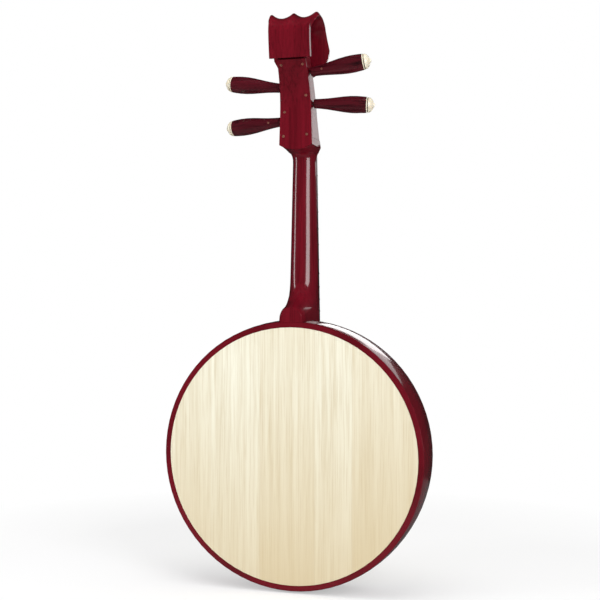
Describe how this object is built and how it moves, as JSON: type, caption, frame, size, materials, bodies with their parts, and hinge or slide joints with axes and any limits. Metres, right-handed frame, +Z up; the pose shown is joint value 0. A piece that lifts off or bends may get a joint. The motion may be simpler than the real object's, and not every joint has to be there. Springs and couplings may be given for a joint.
{
  "type": "zhongruan",
  "caption": "Round-bodied long-necked lute with pale wood boards, glossy dark red rim and neck, worm-gear tuning pegs with bone caps and a curled scroll head",
  "frame": {"origin": "the lowest point of the round rim, at the middle of its depth", "axes": "+Z up along the neck, the soundboard faces -Y and the back board faces +Y"},
  "size_m": [0.414, 0.1068, 0.8829],
  "materials": {
    "lacquer": "gloss dark red lacquer",
    "board": "satin bare paulownia",
    "spruce": "bare",
    "ebony": "satin",
    "rosewood": "polished",
    "bone": "polished bone",
    "steel": "polished",
    "brass": "polished"
  },
  "bodies": {
    "instrument": {"body_rim": "lacquer", "neck": "lacquer", "pegbox": "lacquer", "pegbox_cover": "lacquer", "head_scroll": "lacquer", "back_board": "board", "soundboard": "board", "front_brace_upper": "spruce", "front_brace_lower": "spruce", "back_brace_upper": "spruce", "back_brace_lower": "spruce", "sound_post": "spruce", "fingerboard": "ebony", "fret_01": "brass", "fret_02": "brass", "fret_03": "brass", "fret_04": "brass", "fret_05": "brass", "fret_06": "brass", "fret_07": "brass", "fret_08": "brass", "fret_09": "brass", "fret_10": "brass", "fret_11": "brass", "fret_12": "brass", "fret_13": "brass", "fret_14": "brass", "fret_15": "brass", "fret_16": "brass", "fret_17": "brass", "fret_18": "brass", "fret_19": "brass", "fret_20": "brass", "fret_21": "brass", "fret_22": "brass", "fret_23": "brass", "fret_24": "brass", "nut": "bone", "bridge": "rosewood", "string_1": "steel", "string_2": "steel", "string_3": "steel", "string_4": "steel"},
    "peg_1": {"peg_handle_1": "rosewood", "peg_cap_1": "bone", "worm_shaft_1": "steel"},
    "post_1": {"string_post_1": "steel"},
    "peg_2": {"peg_handle_2": "rosewood", "peg_cap_2": "bone", "worm_shaft_2": "steel"},
    "post_2": {"string_post_2": "steel"},
    "peg_3": {"peg_handle_3": "rosewood", "peg_cap_3": "bone", "worm_shaft_3": "steel"},
    "post_3": {"string_post_3": "steel"},
    "peg_4": {"peg_handle_4": "rosewood", "peg_cap_4": "bone", "worm_shaft_4": "steel"},
    "post_4": {"string_post_4": "steel"}
  },
  "joints": [
    {"name": "peg_turn_1", "type": "hinge", "parent": "instrument", "child": "peg_1", "pos_m": [0.02526, 0.0027, 0.7204], "axis": [0.9905, -0.1219, -0.0641], "continuous": true},
    {"name": "post_turn_1", "type": "hinge", "parent": "instrument", "child": "post_1", "pos_m": [0.0096, 0.0047, 0.73073], "axis": [-0.1216, -0.9925, 0.0079], "continuous": true},
    {"name": "peg_turn_2", "type": "hinge", "parent": "instrument", "child": "peg_2", "pos_m": [-0.02454, 0.00387, 0.74617], "axis": [-0.9905, -0.1286, -0.0491], "continuous": true},
    {"name": "post_turn_2", "type": "hinge", "parent": "instrument", "child": "post_2", "pos_m": [-0.0096, 0.007, 0.75616], "axis": [-0.1216, 0.9846, -0.1259], "continuous": true},
    {"name": "peg_turn_3", "type": "hinge", "parent": "instrument", "child": "peg_3", "pos_m": [0.02384, 0.00912, 0.77123], "axis": [0.9867, -0.0865, 0.1373], "continuous": true},
    {"name": "post_turn_3", "type": "hinge", "parent": "instrument", "child": "post_3", "pos_m": [0.008, 0.01304, 0.77803], "axis": [-0.1212, -0.9556, 0.2685], "continuous": true},
    {"name": "peg_turn_4", "type": "hinge", "parent": "instrument", "child": "peg_4", "pos_m": [-0.02324, 0.01692, 0.7918], "axis": [-0.9867, -0.0659, 0.1483], "continuous": true},
    {"name": "post_turn_4", "type": "hinge", "parent": "instrument", "child": "post_4", "pos_m": [-0.008, 0.02174, 0.79805], "axis": [-0.1212, 0.9071, -0.4031], "continuous": true}
  ],
  "couplings": [
    {"joint": "post_turn_1", "follows": "peg_turn_1", "ratio": -0.071429},
    {"joint": "post_turn_2", "follows": "peg_turn_2", "ratio": -0.071429},
    {"joint": "post_turn_3", "follows": "peg_turn_3", "ratio": -0.071429},
    {"joint": "post_turn_4", "follows": "peg_turn_4", "ratio": -0.071429}
  ]
}
